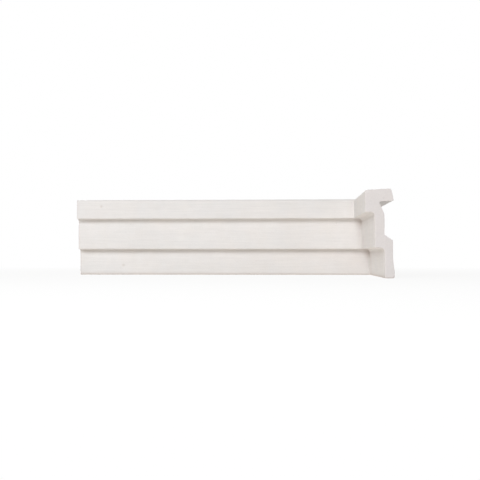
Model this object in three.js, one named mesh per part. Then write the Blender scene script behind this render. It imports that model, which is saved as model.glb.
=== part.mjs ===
import * as THREE from 'three';

// An inside corner unit of a stepped crown moulding, cast in one piece.
// Sizes are in millimetres and +Z is up.
// The long leg runs along X with its wall behind it, at +Y.
// The short leg comes forward along -Y with its wall beside it, at +X.
// Both legs have one section, they meet at a 45 degree mitre line, and their ends are cut square.

// Plan: lengths of the legs along their walls, from the corner of the walls to the cut ends.
const LONG_LEG = 609.6;
const SHORT_LEG = 304.8;

// Front of the section: three flat fasciae, each standing out over the one below.
const LOWER_FASCIA_HEIGHT = 52.4;
const MIDDLE_FASCIA_HEIGHT = 61.0;
const UPPER_FASCIA_HEIGHT = 38.1;
const LOWER_STEP = 17.0;
const UPPER_STEP = 16.2;
const TOP_RISE = 2.6;

// Back of the section: a foot, a recess behind the web, and a lip that hooks back to the wall.
const FOOT_THICKNESS = 14.2;
const FOOT_BACK_HEIGHT = 65.2;
const FOOT_TOP_RISE = 9.6;
const WEB_THICKNESS = 17.0;
const SHOULDER_DROP = 21.7;
const LIP_WALL_GAP = 1.2;
const LIP_BACK_HEIGHT = 21.3;
const LIP_BACK_LEAN = 4.2;
const LIP_OVERHANG = 25.0;
const LIP_UNDERSIDE_RISE = 1.6;

// The foot's back spreads to the wall near the underside, and ends there in an upright toe.
const FLARE = 2.8;
const FLARE_HEIGHT = 36.0;
const TOE_HEIGHT = 11.0;

// Roundings of the section's corners.
const TOP_FRONT_RADIUS = 3.8;
const TOP_BACK_RADIUS = 5.0;
const ARRIS_RADIUS = 1.6;
const COVE_RADIUS = 7.0;
const TOE_RADIUS = 3.0;
const FLARE_RADIUS = 60.0;
const FOOT_TOP_RADIUS = 1.5;
const SHOULDER_RADIUS = 22.0;
const NOTCH_RADIUS = 2.0;
const LIP_EDGE_RADIUS = 0.6;

// Each rounding is drawn with twice this many straight steps.
const ARC_STEPS = 3;

const STONE_COLOUR = '#eae6e3';
const STONE_ROUGHNESS = 0.9;

// Distances of the section's upright faces from the wall.
const lowerFace = FLARE + FOOT_THICKNESS;
const middleFace = lowerFace + LOWER_STEP;
const upperFace = middleFace + UPPER_STEP;
const recessFace = middleFace - WEB_THICKNESS;
const notchFace = LIP_WALL_GAP + LIP_OVERHANG;
const topBack = LIP_WALL_GAP + LIP_BACK_LEAN;

// Heights above the underside.
const lowerSoffit = LOWER_FASCIA_HEIGHT;
const upperSoffit = lowerSoffit + MIDDLE_FASCIA_HEIGHT;
const topFront = upperSoffit + UPPER_FASCIA_HEIGHT;
const topBackHeight = topFront + TOP_RISE;
const lipTip = topBackHeight - LIP_BACK_HEIGHT;
const notch = lipTip - LIP_UNDERSIDE_RISE;
const shoulder = notch - SHOULDER_DROP;
const footTop = FOOT_BACK_HEIGHT + FOOT_TOP_RISE;

// One corner of the section: its distance from the wall, its height and the radius that rounds it.
function corner(fromWall, height, radius) {
  return { at: new THREE.Vector2(-fromWall, height), radius };
}

// Goes round one corner of an outline by an arc that is tangent to both its sides.
// The arc never reaches past the middle of a side.
function roundCorner(outline, before, here, after) {
  const into = here.at.clone().sub(before.at);
  const away = after.at.clone().sub(here.at);
  const longestReach = Math.min(into.length(), away.length()) / 2;
  into.normalize();
  away.normalize();
  const turn = Math.atan2(into.cross(away), into.dot(away));
  const halfTurn = Math.tan(Math.abs(turn) / 2);
  const reach = Math.min(here.radius * halfTurn, longestReach);
  const radius = reach / halfTurn;
  const start = here.at.clone().addScaledVector(into, -reach);
  const side = Math.sign(turn);
  const centre = new THREE.Vector2(-into.y, into.x).multiplyScalar(side * radius).add(start);
  const startAngle = Math.atan2(start.y - centre.y, start.x - centre.x);
  outline.absarc(centre.x, centre.y, radius, startAngle, startAngle + turn, side < 0);
}

function roundedOutline(corners) {
  const outline = new THREE.Shape();
  corners.forEach((here, i) => {
    const before = corners.at(i - 1);
    const after = corners[(i + 1) % corners.length];
    roundCorner(outline, before, here, after);
  });
  outline.closePath();
  return outline;
}

// The section, with the wall's plane at 0, the room on the negative side and the underside at height 0.
function mouldingSection() {
  return roundedOutline([
    corner(lowerFace, 0, ARRIS_RADIUS),
    corner(0, 0, TOE_RADIUS),
    corner(0, TOE_HEIGHT, FLARE_RADIUS),
    corner(FLARE, FLARE_HEIGHT, FLARE_RADIUS),
    corner(FLARE, FOOT_BACK_HEIGHT, FOOT_TOP_RADIUS),
    corner(recessFace, footTop, FOOT_TOP_RADIUS),
    corner(recessFace, shoulder, SHOULDER_RADIUS),
    corner(notchFace, notch, NOTCH_RADIUS),
    corner(LIP_WALL_GAP, lipTip, LIP_EDGE_RADIUS),
    corner(topBack, topBackHeight, TOP_BACK_RADIUS),
    corner(upperFace, topFront, TOP_FRONT_RADIUS),
    corner(upperFace, upperSoffit, ARRIS_RADIUS),
    corner(middleFace, upperSoffit, COVE_RADIUS),
    corner(middleFace, lowerSoffit, ARRIS_RADIUS),
    corner(lowerFace, lowerSoffit, COVE_RADIUS),
  ]);
}

// Places a point of the section at one of three stations: the long leg's end, the mitre, the short leg's end.
const stations = [
  (across) => [-LONG_LEG, across],
  (across) => [across, across],
  (across) => [across, -SHORT_LEG],
];

// Extrudes the section in two steps and lays its three layers at the stations, so that it turns the corner.
function sweepRoundCorner(section) {
  const steps = stations.length - 1;
  const geometry = new THREE.ExtrudeGeometry(section, {
    steps,
    depth: steps,
    curveSegments: ARC_STEPS,
    bevelEnabled: false,
  });
  geometry.deleteAttribute('uv');
  const points = geometry.getAttribute('position');
  for (let i = 0; i < points.count; i += 1) {
    const layer = Math.round(points.getZ(i));
    const [x, y] = stations[layer](points.getX(i));
    points.setXYZ(i, x, y, points.getY(i));
  }
  geometry.computeVertexNormals();
  return geometry;
}

// Moves the unit so that its origin is the middle of its outer box, on the underside.
function standOnOrigin(geometry) {
  geometry.computeBoundingBox();
  const middle = geometry.boundingBox.getCenter(new THREE.Vector3());
  geometry.translate(-middle.x, -middle.y, -geometry.boundingBox.min.z);
}

function castStone() {
  return new THREE.MeshStandardMaterial({
    color: STONE_COLOUR,
    roughness: STONE_ROUGHNESS,
    metalness: 0,
  });
}

function cornerMoulding() {
  const geometry = sweepRoundCorner(mouldingSection());
  standOnOrigin(geometry);
  const mesh = new THREE.Mesh(geometry, castStone());
  mesh.name = 'crown_moulding_corner';
  return mesh;
}

const unit = new THREE.Group();
unit.add(cornerMoulding());

export default unit;
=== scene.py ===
import math

import bmesh
import bpy
from mathutils import Matrix, Vector, noise
from mathutils.geometry import delaunay_2d_cdt, intersect_point_line


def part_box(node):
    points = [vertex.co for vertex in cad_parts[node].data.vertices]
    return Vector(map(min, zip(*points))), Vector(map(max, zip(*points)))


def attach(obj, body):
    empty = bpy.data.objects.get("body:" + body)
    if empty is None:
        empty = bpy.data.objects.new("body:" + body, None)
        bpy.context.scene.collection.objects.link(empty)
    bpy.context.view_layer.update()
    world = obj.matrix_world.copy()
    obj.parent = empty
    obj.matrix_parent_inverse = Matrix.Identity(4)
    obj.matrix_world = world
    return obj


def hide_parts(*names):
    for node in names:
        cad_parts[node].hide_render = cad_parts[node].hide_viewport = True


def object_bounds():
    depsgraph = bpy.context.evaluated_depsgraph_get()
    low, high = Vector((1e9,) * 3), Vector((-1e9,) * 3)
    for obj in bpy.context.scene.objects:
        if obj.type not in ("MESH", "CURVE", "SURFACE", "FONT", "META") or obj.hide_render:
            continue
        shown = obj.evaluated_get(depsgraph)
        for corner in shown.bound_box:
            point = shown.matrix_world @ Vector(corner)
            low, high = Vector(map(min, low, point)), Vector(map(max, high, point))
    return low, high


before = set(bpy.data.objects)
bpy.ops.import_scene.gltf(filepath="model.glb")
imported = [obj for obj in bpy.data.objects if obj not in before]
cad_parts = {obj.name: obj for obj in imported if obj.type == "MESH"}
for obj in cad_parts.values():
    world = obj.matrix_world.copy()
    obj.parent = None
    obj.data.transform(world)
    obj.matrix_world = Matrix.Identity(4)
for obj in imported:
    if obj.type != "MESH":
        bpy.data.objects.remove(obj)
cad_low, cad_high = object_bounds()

# The inside corner unit of a stepped crown moulding, dressed as fine off-white cast stone.
# Metres, +X along the long leg towards the corner, +Y into the long leg's wall, +Z up.
# A point of the section is a Vector of its depth, out from the wall, and its height.
# The run goes along the long leg from its cut end, round the mitre, and on to the short leg's cut end.

MM = 0.001
NODE = "crown_moulding_corner"
PIECE = "cast_stone_corner"
BODY = "root"

# Camera, in the photograph's 480 by 480 frame. Its place is given from the corner of the two walls.
PHOTO_WIDTH = 480
FOCAL_LENGTH_PX = 889.6
CAMERA_FROM_CORNER = (-0.1814, -1.8325, 0.0377)
CAMERA_YAW = 0.05414
CAMERA_PITCH = 0.01838
SENSOR_WIDTH = 36.0

# Spacing of the casting's mesh: round the section, along the run, by the pits and on the cut ends.
# A long side of the section also has a line of vertices close to each end, at the hold gap.
AROUND_STEP = 3.2 * MM
HOLD_GAP = 0.4 * MM
ALONG_STEP = 3.6 * MM
FINE_STEP = 0.8 * MM
FINE_REACH = 5.0 * MM
CUT_STEP = 2.6 * MM
TRIANGLES_INSIDE = 1

# Roundings that the plain solid leaves out: where the legs meet, and round the cut ends.
MITRE_RADIUS = 2.0 * MM
MITRE_STEPS = 6
FILL_RADIUS = 2.5 * MM
END_RADIUS = 0.5 * MM
END_STEPS = 3
END_ZONE = 1.01 * END_RADIUS

# Tolerances: for one place, for the plane of a cut end, for a pit on a side of the section,
# for stone in front of the back, and for how little a face of the front may look to the room.
SAME_PLACE = 0.001 * MM
CUT_PLANE_GAP = 0.01 * MM
PIT_GAP = 1.0 * MM
BACK_GAP = 1.0 * MM
FRONT_FACING = -0.1

# Two shallow pits on the long leg's front, by their pixels in the photograph.
PIT_PIXELS = ((101.3, 206.8), (123.3, 265.3))
PIT_RADIUS = 4.5 * MM
PIT_DEPTH = 0.4 * MM
# How much darker the pits are drawn.
PIT_DARKENING = 0.7

# Unevenness of the cast faces, the cut ends, the back and the arrises, all of it into the solid.
# Each kind follows noise from 0 to 1 with a seed of its own. Nicks begin where theirs passes a share.
WAVE_LENGTH = 70.0 * MM
WAVE_DEPTH = 0.2 * MM
WAVE_SEED = 1
CUT_WAVE_LENGTH = 6.0 * MM
CUT_WAVE_DEPTH = 0.25 * MM
CUT_WAVE_SEED = 2
BACK_WAVE_LENGTH = 16.0 * MM
BACK_WAVE_DEPTH = 0.5 * MM
BACK_WAVE_SEED = 5
SHARP_RADIUS = 3.0 * MM
WEAR_LENGTH = 9.0 * MM
WEAR_DEPTH = 0.15 * MM
WEAR_SEED = 3
NICK_LENGTH = 13.0 * MM
NICK_DEPTH = 0.7 * MM
NICK_SEED = 4
NICK_START = 0.725

# Painted shade lies in the long leg's coves, along the underside's edge, and under the soffits where
# the legs meet.
# Painted shade darkens the long leg a little, more of it towards the mitre and on the lower faces.
CORNER_SHADE = 0.45
CORNER_SHADE_REACH = 400.0 * MM
MITRE_SHADE = 0.45
MITRE_SHADE_REACH = 16.0 * MM
COVE_SHADE = 0.4
COVE_REACH = 6.0 * MM
COVE_TURN = math.radians(48)
FOOT_REACH = 6.0 * MM
FOOT_FADE = 4.0 * MM
SHORT_LEG_FADE = 60.0 * MM
SHELTER_REACH = 30.0 * MM
SHELTER_FADE = 18.0 * MM
SHELTER_OVERHANG = 12.0 * MM
CORNER_REACH = 18.0 * MM

# Colours of the stone, and what the cut ends, the back and the painted shade and pits multiply them by.
STONE_COLOUR = (0.822, 0.793, 0.776, 1.0)
WARM_COLOUR = (0.826, 0.789, 0.764, 1.0)
TINTS = {
    "cut_end": (0.93, 0.907, 0.912),
    # Painted shade: the back, with the lip's underside, is drawn darker and cooler.
    "back": (0.92, 0.945, 0.98),
    # Painted shade, in the coves, under the soffits, along the foot and towards the mitre; it also
    # darkens the pits.
    "painted_shade_and_pits": (0.85, 0.81, 0.785),
}
STONE_ROUGHNESS = 0.9
STONE_SPECULAR = 0.3

# Grain of the stone, as noise of several sizes. A tone is its swing of brightness to each side of 1,
# and a relief is its height in millimetres.
SAND_SIZE = 0.9 * MM
SAND_TONE = 0.015
SAND_RELIEF = 0.05
GRIT_SIZE = 3.0 * MM
GRIT_TONE = 0.01
GRIT_RELIEF = 0.06
PATCH_SIZE = 14.0 * MM
PATCH_TONE = 0.015
PATCH_RELIEF_ON_BACK = 0.8
CLOUD_SIZE = 85.0 * MM
CLOUD_TONE = 0.02
WARMTH_SIZE = 40.0 * MM
STREAK_SIZE = 3.2 * MM
STREAK_SQUEEZE = (0.05, 1, 1)
STREAK_TONE = 0.02
STREAK_RELIEF = 0.05
PLAIN_DETAIL = 2.0
FINE_DETAIL = 3.0
NOISE_ROUGHNESS = 0.55

# How far to each side of a half the noise is followed.
TONE_SPREAD = 0.25
STREAK_SPREAD = 0.2
WARMTH_SPREAD = 0.15
RELIEF_SPREAD = 0.3

# Small round holes, in a share of the cells of a loose grid. Radius and rim are shares of a cell.
HOLE_CELL = 11.0 * MM
HOLE_SHARE = 0.08
HOLE_RADIUS = 0.22
HOLE_RIM = 0.08
HOLE_TONE = 0.93
HOLE_RELIEF = -0.2

# The colour sockets of Blender's Mix node, whose names are shared with its other sockets.
MIX_FIRST = 6
MIX_SECOND = 7
MIX_RESULT = 2

# Soft studio light.
KEY_FROM_CENTRE = (-0.79, -2.142, 1.017)
KEY_WIDTH = 2.4
KEY_HEIGHT = 1.2
KEY_POWER = 57.5
KEY_COLOUR = (0.94, 0.97, 1.0)
SKY_EVEN = 0.135
SKY_FROM_BACK = 0.9
SKY_FROM_BELOW = 0.88
SKY_FROM_ABOVE = 0.12
SKY_COLOUR = (1.0, 0.957, 0.891, 1.0)
WHITE = (1.0, 1.0, 1.0, 1.0)

# Floor.
FLOOR_RADIUS = 12.0
FLOOR_SIDES = 96
FLOOR_COLOUR = (0.9, 0.9, 0.9, 1.0)
FLOOR_GLOW = 0.88
FADE_START = 0.4
FADE_END = 1.6


def clamped(value):
    return min(1, max(0, value))


def sides(outline):
    """The sides of a closed outline, each by its two ends."""
    return list(zip(outline, outline[1:] + outline[:1]))


def neighbours(outline, i):
    """The points before and after a point of a closed outline."""
    return outline[i - 1], outline[(i + 1) % len(outline)]


def wall_corner():
    """The corner of the walls' planes, level with the underside. The foot's toes touch both planes."""
    low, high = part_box(NODE)
    return Vector((high.x, high.y, low.z))


def camera_rotation():
    turn = Matrix.Rotation(CAMERA_YAW, 4, "Z")
    tilt = Matrix.Rotation(math.pi / 2 + CAMERA_PITCH, 4, "X")
    return turn @ tilt


def camera_place():
    return wall_corner() + Vector(CAMERA_FROM_CORNER)


def make_camera():
    data = bpy.data.cameras.new("photo_camera")
    data.sensor_width = SENSOR_WIDTH
    data.lens = FOCAL_LENGTH_PX / PHOTO_WIDTH * SENSOR_WIDTH
    camera = bpy.data.objects.new("photo_camera", data)
    camera.matrix_world = Matrix.Translation(camera_place()) @ camera_rotation()
    bpy.context.scene.collection.objects.link(camera)
    bpy.context.scene.camera = camera


def seen_on_casting(pixel):
    """The point of the casting's surface that the photograph shows at a pixel."""
    middle = PHOTO_WIDTH / 2
    ray = Vector((pixel[0] - middle, middle - pixel[1], -FOCAL_LENGTH_PX))
    direction = (camera_rotation().to_3x3() @ ray).normalized()
    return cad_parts[NODE].ray_cast(camera_place(), direction)[1]


def section_outline():
    """The section's outline in order, read from the long leg's cut end."""
    low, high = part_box(NODE)
    solid = bmesh.new()
    solid.from_mesh(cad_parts[NODE].data)
    bmesh.ops.remove_doubles(solid, verts=solid.verts, dist=SAME_PLACE)

    def at_end(item):
        return all(vert.co.x - low.x < CUT_PLANE_GAP for vert in item.verts)

    rim = {}
    for edge in solid.edges:
        caps = [face for face in edge.link_faces if at_end(face)]
        if at_end(edge) and len(caps) == 1:
            for vert in edge.verts:
                rim.setdefault(vert, []).append(edge.other_vert(vert))
    start = min(rim, key=lambda vert: (vert.co.z, vert.co.y))
    loop = [start]
    here = min(rim[start], key=lambda vert: vert.co.y)
    while here is not start:
        loop.append(here)
        here = next(vert for vert in rim[here] if vert is not loop[-2])
    outline = [Vector((high.y - vert.co.y, vert.co.z)) for vert in loop]
    solid.free()
    return outline


def spaced(start, end, step, fine_spots=()):
    """Positions from start up to end, without end, closer together near the fine spots."""
    places = [start]
    while places[-1] < end:
        near = any(abs(places[-1] - spot) < FINE_REACH for spot in fine_spots)
        places.append(places[-1] + (FINE_STEP if near else step))
    stretch = (end - start) / (places[-1] - start)
    return [start + (place - start) * stretch for place in places[:-1]]


def side_places(length, spots):
    """Positions along one side of the outline, without its far end.
    The ones close to both ends of a long side keep it flat to its edges when it is shaded smooth."""
    if length < AROUND_STEP:
        return [0]
    inside = spaced(HOLD_GAP, length - HOLD_GAP, AROUND_STEP, spots)
    return [0] + inside + [length - HOLD_GAP]


def refined(outline, pits):
    """The outline with its long sides divided, and finer beside the pits."""
    points = []
    for here, there in sides(outline):
        length = (there - here).length
        spots = []
        for pit in pits:
            nearest, share = intersect_point_line(pit, here, there)
            if (nearest.to_2d() - pit).length < PIT_GAP:
                spots.append(share * length)
        for distance in side_places(length, spots):
            points.append(here.lerp(there, distance / length))
    return points


def outward_normals(outline):
    """At each point of the outline, the direction out of the stone. The outline may run either way."""
    area = sum(a.cross(b) for a, b in sides(outline))
    side = math.copysign(1, area)
    normals = []
    for i, here in enumerate(outline):
        before, after = neighbours(outline, i)
        into = (here - before).normalized()
        away = (after - here).normalized()
        along = (into + away).normalized()
        normals.append(Vector((along.y, -along.x)) * side)
    return normals


def sharpness(outline, normals):
    """At each point of the outline, 1 on a tight outer rounding and 0 on a flat or a cove."""
    values = []
    for i, here in enumerate(outline):
        before, after = neighbours(outline, i)
        turn = (here - before).angle(after - here)
        bend = turn / ((here - before).length / 2 + (after - here).length / 2)
        outer = (here - (before + after) / 2).dot(normals[i]) > 0
        values.append(clamped(bend * SHARP_RADIUS) if outer else 0)
    return values


def inward_turns(outline, normals):
    """At each point of the outline, the angle it turns by in a cove, and 0 elsewhere."""
    turns = []
    for i, here in enumerate(outline):
        before, after = neighbours(outline, i)
        inner = (here - (before + after) / 2).dot(normals[i]) < 0
        turns.append((here - before).angle(after - here) if inner else 0)
    return turns


def cove_values(outline, normals):
    """At each point of the outline, up to 1 on the upright side of a cove and 0 away from it."""
    places = [0]
    for here, there in sides(outline):
        places.append(places[-1] + (there - here).length)
    girth = places.pop()
    turns = inward_turns(outline, normals)
    values = []
    for place, normal in zip(places, normals):
        turned = 0
        for other, turn in zip(places, turns):
            gap = min(abs(place - other), girth - abs(place - other))
            turned += turn * max(0, 1 - gap / COVE_REACH)
        values.append((min(1, turned / COVE_TURN) * normal.x) ** 2)
    return values


def shelter_values(outline, normals):
    """At each point of the front, 1 close under a soffit and 0 away from it."""
    values = []
    for here, normal in zip(outline, normals):
        value = 0
        for above in outline:
            gap = above.y - here.y
            if normal.x > FRONT_FACING and 0 <= gap < SHELTER_REACH:
                overhang = clamped((above.x - here.x) / SHELTER_OVERHANG)
                value = max(value, overhang * clamped((SHELTER_REACH - gap) / SHELTER_FADE))
        values.append(value)
    return values


def has_stone_in_front(here, outline):
    for a, b in sides(outline):
        if (a.y - here.y) * (b.y - here.y) < 0:
            crossing = a.lerp(b, (here.y - a.y) / (b.y - a.y))
            if crossing.x > here.x + BACK_GAP:
                return True
    return False


def back_values(outline):
    """At each point of the outline, 1 on the back, which has stone in front of it, and 0 elsewhere."""
    return [1 if has_stone_in_front(here, outline) else 0 for here in outline]


def plan_route(legs, depth, radius, station):
    """The plan place, from the corner of the walls, of a section point at a station of the run.
    Stations 0 to 1 are on the long leg, 1 to 2 on the mitre's rounding and 2 to 3 on the short leg."""
    bend = -(depth + radius)
    if station <= 1:
        return -legs[0] + station * (legs[0] + bend), -depth
    if station <= 2:
        turn = (station - 1) * math.pi / 2
        return bend + radius * math.sin(turn), bend + radius * math.cos(turn)
    return -depth, bend - (station - 2) * (legs[1] + bend)


def end_stations(leg):
    """Stations and insets of a leg's rounded end, from its cut face inwards."""
    steps = [i / END_STEPS * math.pi / 2 for i in range(END_STEPS)]
    return [(END_RADIUS * (1 - math.cos(a)) / leg, END_RADIUS * (1 - math.sin(a))) for a in steps]


def stations_and_insets(legs, pit_runs):
    """All stations of the run in order. An inset says how far the section is drawn in there."""
    long_leg, short_leg = legs
    stations = end_stations(long_leg)
    stations += [(run / long_leg, 0) for run in spaced(END_RADIUS, long_leg, ALONG_STEP, pit_runs)]
    stations += [(1 + i / MITRE_STEPS, 0) for i in range(MITRE_STEPS)]
    runs = spaced(0, short_leg - END_RADIUS, ALONG_STEP)
    stations += [(2 + run / short_leg, 0) for run in runs]
    stations.append((3 - END_RADIUS / short_leg, 0))
    stations += [(3 - station, inset) for station, inset in reversed(end_stations(short_leg))]
    return stations


def run_length(legs, plan):
    """How far along the run a plan place is, as if the two legs were one straight length."""
    x, y = plan
    return legs[0] + x - y - min(-x, -y)


def painted_shade_value(plan, height, share_out, cove, shelter, back):
    """Painted shade, up to 1. The share out is 0 at the wall and 1 at the furthest face."""
    from_mitre = plan[1] - plan[0]
    at_mitre = max(0, 1 - abs(from_mitre) / CORNER_REACH)
    # Painted shade along the underside's edge, and under the soffits beside the mitre.
    at_foot = clamped((FOOT_REACH - height) / FOOT_FADE)
    long_leg = clamped(1 + from_mitre / SHORT_LEG_FADE)
    # Painted shade on the long leg, more towards the mitre and on the faces nearer the wall.
    corner_shade = CORNER_SHADE * max(0, 1 + plan[0] / CORNER_SHADE_REACH) * (1 - share_out) * long_leg
    if from_mitre > -SAME_PLACE:
        corner_shade = max(corner_shade, MITRE_SHADE * max(0, 1 - from_mitre / MITRE_SHADE_REACH))
    return max(COVE_SHADE * cove * long_leg, shelter * at_mitre, at_foot, corner_shade * (1 - back))


def sweep(solid, outline, legs, stations):
    """Carries the section through all the stations and gives the rings of vertices.
    Each vertex keeps its unrolled place, and how much it is cut, worn, painted in shade and on the
    back."""
    corner = wall_corner()
    normals = outward_normals(outline)
    sharp = sharpness(outline, normals)
    coves = cove_values(outline, normals)
    shelters = shelter_values(outline, normals)
    backs = back_values(outline)
    outermost = max(point.x for point in outline)
    unrolled = solid.verts.layers.float_vector.new("unrolled")
    cut_end = solid.verts.layers.float.new("cut_end")
    wear = solid.verts.layers.float.new("wear")
    painted_shade_and_pits = solid.verts.layers.float.new("painted_shade_and_pits")
    back = solid.verts.layers.float.new("back")
    rings = []
    for station, inset in stations:
        ring = []
        for i, point in enumerate(outline):
            depth, height = point - normals[i] * inset
            plan = plan_route(legs, depth, MITRE_RADIUS + FILL_RADIUS * shelters[i], station)
            from_end = min(legs[0] + plan[0], legs[1] + plan[1])
            at_end = 1 if from_end < END_ZONE else 0
            vert = solid.verts.new(corner + Vector((*plan, height)))
            vert[unrolled] = Vector((run_length(legs, plan), depth, height))
            vert[cut_end] = at_end
            vert[wear] = max(sharp[i], at_end)
            vert[painted_shade_and_pits] = painted_shade_value(plan, height, depth / outermost, coves[i], shelters[i], backs[i])
            vert[back] = backs[i] * (1 - at_end)
            ring.append(vert)
        rings.append(ring)
    for here, there in zip(rings, rings[1:]):
        for i in range(len(outline)):
            solid.faces.new((here[i - 1], here[i], there[i], there[i - 1]))
    return rings


def gap_to_rim(point, rim):
    gaps = []
    for a, b in sides(rim):
        share = intersect_point_line(point, a, b)[1]
        nearest = a.lerp(b, clamped(share))
        gaps.append((nearest - point).length)
    return min(gaps)


def inner_points(rim):
    """A grid of section points that keeps clear of the rim."""
    low = Vector(min(point[i] for point in rim) for i in range(2))
    high = Vector(max(point[i] for point in rim) for i in range(2))
    points = []
    for row, height in enumerate(spaced(low.y, high.y, CUT_STEP)):
        shift = CUT_STEP / 2 * (row % 2)
        for depth in spaced(low.x + shift, high.x, CUT_STEP):
            point = Vector((depth, height))
            if gap_to_rim(point, rim) > CUT_STEP / 2:
                points.append(point)
    return points


def fill_cut_face(solid, ring, legs, station):
    """Closes the cut end with a fine flat mesh, joined to the last ring of the sweep."""
    unrolled = solid.verts.layers.float_vector["unrolled"]
    cut_end = solid.verts.layers.float["cut_end"]
    rim = [vert[unrolled].yz for vert in ring]
    edges = [((i - 1) % len(rim), i) for i in range(len(rim))]
    filled = delaunay_2d_cdt(rim + inner_points(rim), edges, [], TRIANGLES_INSIDE, SAME_PLACE)
    places, _, faces, origins, _, _ = filled
    made = {}
    for face in faces:
        for index in face:
            if index in made:
                continue
            origin = min(origins[index])
            if origin < len(rim):
                made[index] = ring[origin]
                continue
            depth, height = places[index]
            plan = plan_route(legs, depth, MITRE_RADIUS, station)
            vert = solid.verts.new(wall_corner() + Vector((*plan, height)))
            vert[unrolled] = Vector((run_length(legs, plan), depth, height))
            vert[cut_end] = 1
            made[index] = vert
        solid.faces.new([made[index] for index in face])


def share_of_noise(place, length, seed):
    """Smooth noise from 0 to 1, with features about as long as the length."""
    return clamped((1 + noise.noise(place / length + Vector((seed, 0, 0)))) / 2)


def pit_share(point, pit):
    """1 in the middle of a pit and 0 outside it."""
    away = (point - pit).length / PIT_RADIUS
    return (1 - away ** 2) ** 2 if away < 1 else 0


def sunk_depth(vert, cut, wear, back, pits):
    """How far a point of the surface lies inside the plain solid's surface."""
    depth = WAVE_DEPTH * share_of_noise(vert.co, WAVE_LENGTH, WAVE_SEED)
    depth += cut * CUT_WAVE_DEPTH * share_of_noise(vert.co, CUT_WAVE_LENGTH, CUT_WAVE_SEED)
    depth += back * BACK_WAVE_DEPTH * share_of_noise(vert.co, BACK_WAVE_LENGTH, BACK_WAVE_SEED)
    depth += wear * WEAR_DEPTH * share_of_noise(vert.co, WEAR_LENGTH, WEAR_SEED)
    nick = share_of_noise(vert.co, NICK_LENGTH, NICK_SEED) - NICK_START
    depth += wear * NICK_DEPTH * max(0, nick)
    return depth + PIT_DEPTH * max(pit_share(vert.co, pit) for pit in pits)


def weather(solid, pits):
    """Moves the surface in by its unevenness, wear and pits, and draws the pits darker."""
    solid.normal_update()
    cut_end = solid.verts.layers.float["cut_end"]
    wear = solid.verts.layers.float["wear"]
    back = solid.verts.layers.float["back"]
    painted_shade_and_pits = solid.verts.layers.float["painted_shade_and_pits"]
    for vert in solid.verts:
        vert[painted_shade_and_pits] = max(vert[painted_shade_and_pits], PIT_DARKENING * max(pit_share(vert.co, pit) for pit in pits))
    offsets = [sunk_depth(vert, vert[cut_end], vert[wear], vert[back], pits) for vert in solid.verts]
    for vert, offset in zip(solid.verts, offsets):
        vert.co -= vert.normal * offset


def node(tree, kind, inputs=(), **settings):
    """A new node. Each input is a plain value or the output that feeds it."""
    made = tree.nodes.new(kind)
    for name, value in settings.items():
        setattr(made, name, value)
    for name, value in dict(inputs).items():
        if isinstance(value, bpy.types.NodeSocket):
            tree.links.new(value, made.inputs[name])
        else:
            made.inputs[name].default_value = value
    return made


def new_tree(owner):
    owner.use_nodes = True
    owner.node_tree.nodes.clear()
    return owner.node_tree


def math_node(tree, operation, a, b):
    return node(tree, "ShaderNodeMath", {0: a, 1: b}, operation=operation).outputs[0]


def combined(tree, operation, values):
    """The sum or product of several values."""
    result = values[0]
    for value in values[1:]:
        result = math_node(tree, operation, result, value)
    return result


def ramp(tree, value, start, end, low, high):
    """Maps start to end onto low to high, level outside them."""
    inputs = {"Value": value, "From Min": start, "From Max": end, "To Min": low, "To Max": high}
    return node(tree, "ShaderNodeMapRange", inputs, clamp=True).outputs[0]


def noise_ramp(tree, value, spread, low, high):
    """Maps the middle of a noise's range onto low to high."""
    return ramp(tree, value, 0.5 - spread, 0.5 + spread, low, high)


def swing(tree, value, spread, amount):
    """Maps noise to a factor that swings by the amount to each side of 1."""
    return noise_ramp(tree, value, spread, 1 - amount, 1 + amount)


def cloud(tree, place, size, detail):
    """Noise from 0 to 1 whose features are about as wide as the size."""
    inputs = {"Vector": place, "Scale": 1 / size, "Detail": detail, "Roughness": NOISE_ROUGHNESS}
    return node(tree, "ShaderNodeTexNoise", inputs).outputs[0]


def multiplied(tree, vector, factors):
    """A place or colour with each of its three values multiplied by a factor of its own."""
    inputs = {0: vector, 1: factors}
    return node(tree, "ShaderNodeVectorMath", inputs, operation="MULTIPLY").outputs[0]


def scaled(tree, colour, factor):
    inputs = {0: colour, "Scale": factor}
    return node(tree, "ShaderNodeVectorMath", inputs, operation="SCALE").outputs[0]


def mixed_colour(tree, share, first, second):
    inputs = {"Factor": share, MIX_FIRST: first, MIX_SECOND: second}
    return node(tree, "ShaderNodeMix", inputs, data_type="RGBA").outputs[MIX_RESULT]


def vertex_value(tree, name, output="Fac"):
    """What the mesh keeps at its vertices under a name."""
    return node(tree, "ShaderNodeAttribute", attribute_name=name).outputs[output]


def pinholes(tree, place):
    """1 in the middle of small round holes, 0 elsewhere. A cell's own colour says if it has a hole."""
    cells = node(tree, "ShaderNodeTexVoronoi", {"Vector": place, "Scale": 1 / HOLE_CELL})
    colour = node(tree, "ShaderNodeSeparateColor", {0: cells.outputs["Color"]})
    has_hole = ramp(tree, colour.outputs[0], 1 - HOLE_SHARE, 1, 0, 1)
    radius = ramp(tree, has_hole, 0, 1, 0, HOLE_RADIUS)
    inside = math_node(tree, "SUBTRACT", radius, cells.outputs["Distance"])
    return ramp(tree, inside, 0, HOLE_RIM, 0, 1)


def stone_grain(tree, place):
    """The noises that the stone's colour and relief share."""
    along_run = multiplied(tree, vertex_value(tree, "unrolled", "Vector"), STREAK_SQUEEZE)
    return {
        "sand": cloud(tree, place, SAND_SIZE, FINE_DETAIL),
        "grit": cloud(tree, place, GRIT_SIZE, PLAIN_DETAIL),
        "patches": cloud(tree, place, PATCH_SIZE, FINE_DETAIL),
        "clouds": cloud(tree, place, CLOUD_SIZE, PLAIN_DETAIL),
        "streaks": cloud(tree, along_run, STREAK_SIZE, PLAIN_DETAIL),
        "holes": pinholes(tree, place),
    }


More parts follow.
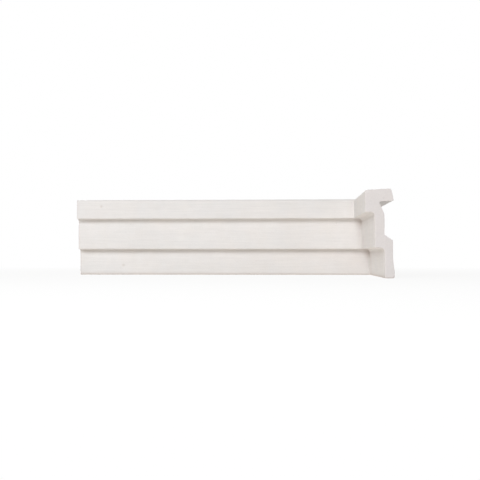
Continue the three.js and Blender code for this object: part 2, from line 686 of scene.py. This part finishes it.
def stone_colour(tree, place, grain):
    tone = combined(tree, "MULTIPLY", [
        swing(tree, grain["sand"], TONE_SPREAD, SAND_TONE),
        swing(tree, grain["grit"], TONE_SPREAD, GRIT_TONE),
        swing(tree, grain["patches"], TONE_SPREAD, PATCH_TONE),
        swing(tree, grain["clouds"], TONE_SPREAD, CLOUD_TONE),
        swing(tree, grain["streaks"], STREAK_SPREAD, STREAK_TONE),
        ramp(tree, grain["holes"], 0, 1, 1, HOLE_TONE),
    ])
    warmth = noise_ramp(tree, cloud(tree, place, WARMTH_SIZE, PLAIN_DETAIL), WARMTH_SPREAD, 0, 1)
    colour = mixed_colour(tree, warmth, STONE_COLOUR, WARM_COLOUR)
    colour = scaled(tree, colour, tone)
    # The tints darken the cut ends and the pits, and paint shade on the back, the coves, the foot and
    # towards the mitre.
    for name, tint in TINTS.items():
        share = vertex_value(tree, name)
        colour = mixed_colour(tree, share, colour, multiplied(tree, colour, tint))
    return colour


def stone_relief(tree, grain):
    """Height of the fine relief, in millimetres. The back is coarser."""
    coarse = noise_ramp(tree, grain["patches"], RELIEF_SPREAD, 0, PATCH_RELIEF_ON_BACK)
    return combined(tree, "ADD", [
        noise_ramp(tree, grain["sand"], RELIEF_SPREAD, 0, SAND_RELIEF),
        noise_ramp(tree, grain["grit"], RELIEF_SPREAD, 0, GRIT_RELIEF),
        noise_ramp(tree, grain["streaks"], RELIEF_SPREAD, 0, STREAK_RELIEF),
        math_node(tree, "MULTIPLY", vertex_value(tree, "back"), coarse),
        ramp(tree, grain["holes"], 0, 1, 0, HOLE_RELIEF),
    ])


def cast_stone():
    material = bpy.data.materials.new("cast_stone_finish")
    tree = new_tree(material)
    place = node(tree, "ShaderNodeTexCoord").outputs["Object"]
    grain = stone_grain(tree, place)
    bump_inputs = {"Height": stone_relief(tree, grain), "Strength": 1.0, "Distance": MM}
    bump = node(tree, "ShaderNodeBump", bump_inputs)
    shader_inputs = {
        "Base Color": stone_colour(tree, place, grain),
        "Roughness": STONE_ROUGHNESS,
        "Specular IOR Level": STONE_SPECULAR,
        "Normal": bump.outputs[0],
    }
    shader = node(tree, "ShaderNodeBsdfPrincipled", shader_inputs)
    node(tree, "ShaderNodeOutputMaterial", {"Surface": shader.outputs[0]})
    return material


def casting_mesh():
    """The whole unit as one fine closed mesh."""
    low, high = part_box(NODE)
    corner = wall_corner()
    legs = (high.x - low.x, high.y - low.y)
    pits = [seen_on_casting(pixel) for pixel in PIT_PIXELS]
    pit_points = [Vector((corner.y - pit.y, pit.z - corner.z)) for pit in pits]
    pit_runs = [pit.x - low.x for pit in pits]
    outline = refined(section_outline(), pit_points)
    stations = stations_and_insets(legs, pit_runs)

    solid = bmesh.new()
    rings = sweep(solid, outline, legs, stations)
    fill_cut_face(solid, rings[0], legs, stations[0][0])
    fill_cut_face(solid, rings[-1], legs, stations[-1][0])
    bmesh.ops.recalc_face_normals(solid, faces=solid.faces)
    weather(solid, pits)
    mesh = bpy.data.meshes.new(PIECE)
    solid.to_mesh(mesh)
    solid.free()
    mesh.shade_smooth()
    return mesh


def make_casting():
    """The dressed casting, which stands for the plain solid."""
    mesh = casting_mesh()
    mesh.materials.append(cast_stone())
    casting = bpy.data.objects.new(PIECE, mesh)
    bpy.context.scene.collection.objects.link(casting)
    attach(casting, BODY)
    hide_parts(NODE)


def floor_material():
    """Pale and matte, and white far away, so that no edge shows."""
    material = bpy.data.materials.new("pale_floor")
    tree = new_tree(material)
    place = node(tree, "ShaderNodeTexCoord").outputs["Object"]
    distance = node(tree, "ShaderNodeVectorMath", {0: place}, operation="LENGTH").outputs["Value"]
    share = ramp(tree, distance, FADE_START, FADE_END, FLOOR_GLOW, 1)
    matte = node(tree, "ShaderNodeBsdfDiffuse", {"Color": FLOOR_COLOUR})
    glow = node(tree, "ShaderNodeEmission", {"Color": WHITE})
    mixed = node(tree, "ShaderNodeMixShader", {0: share, 1: matte.outputs[0], 2: glow.outputs[0]})
    node(tree, "ShaderNodeOutputMaterial", {"Surface": mixed.outputs[0]})
    return material


def make_floor():
    """A wide disc under the unit. It catches its shadow and throws no light back at it."""
    disc = bmesh.new()
    bmesh.ops.create_circle(disc, cap_ends=True, segments=FLOOR_SIDES, radius=FLOOR_RADIUS)
    mesh = bpy.data.meshes.new("floor")
    disc.to_mesh(mesh)
    disc.free()
    mesh.materials.append(floor_material())
    floor = bpy.data.objects.new("floor", mesh)
    floor.location.z = cad_low.z
    floor.visible_diffuse = False
    floor.visible_glossy = False
    floor.visible_shadow = False
    bpy.context.scene.collection.objects.link(floor)


def light_sky():
    """A dim dome, brighter behind and below, as by a white wall and floor. The camera sees it white."""
    world = bpy.data.worlds.new("soft_studio")
    bpy.context.scene.world = world
    tree = new_tree(world)
    direction = node(tree, "ShaderNodeTexCoord").outputs["Generated"]
    axes = node(tree, "ShaderNodeSeparateXYZ", {0: direction})
    strength = combined(tree, "ADD", [
        SKY_EVEN,
        ramp(tree, axes.outputs["Y"], 0, 1, 0, SKY_FROM_BACK),
        ramp(tree, axes.outputs["Z"], 0, -1, 0, SKY_FROM_BELOW),
        ramp(tree, axes.outputs["Z"], 0, 1, 0, SKY_FROM_ABOVE),
    ])
    dome = node(tree, "ShaderNodeBackground", {"Color": SKY_COLOUR, "Strength": strength})
    backdrop = node(tree, "ShaderNodeBackground", {"Color": WHITE, "Strength": 1.0})
    seen = node(tree, "ShaderNodeLightPath").outputs["Is Camera Ray"]
    mixed = node(tree, "ShaderNodeMixShader", {0: seen, 1: dome.outputs[0], 2: backdrop.outputs[0]})
    node(tree, "ShaderNodeOutputWorld", {"Surface": mixed.outputs[0]})


def hang_key_light():
    """A large soft light, up to the left of the camera."""
    centre = (cad_low + cad_high) / 2
    data = bpy.data.lights.new("key_light", "AREA")
    data.shape = "RECTANGLE"
    data.size = KEY_WIDTH
    data.size_y = KEY_HEIGHT
    data.energy = KEY_POWER
    data.color = KEY_COLOUR
    key = bpy.data.objects.new("key_light", data)
    key.location = centre + Vector(KEY_FROM_CENTRE)
    key.rotation_euler = Vector(KEY_FROM_CENTRE).to_track_quat("Z", "Y").to_euler()
    key.visible_camera = False
    bpy.context.scene.collection.objects.link(key)


make_camera()
make_casting()
make_floor()
light_sky()
hang_key_light()
bpy.context.scene.view_settings.view_transform = "Standard"
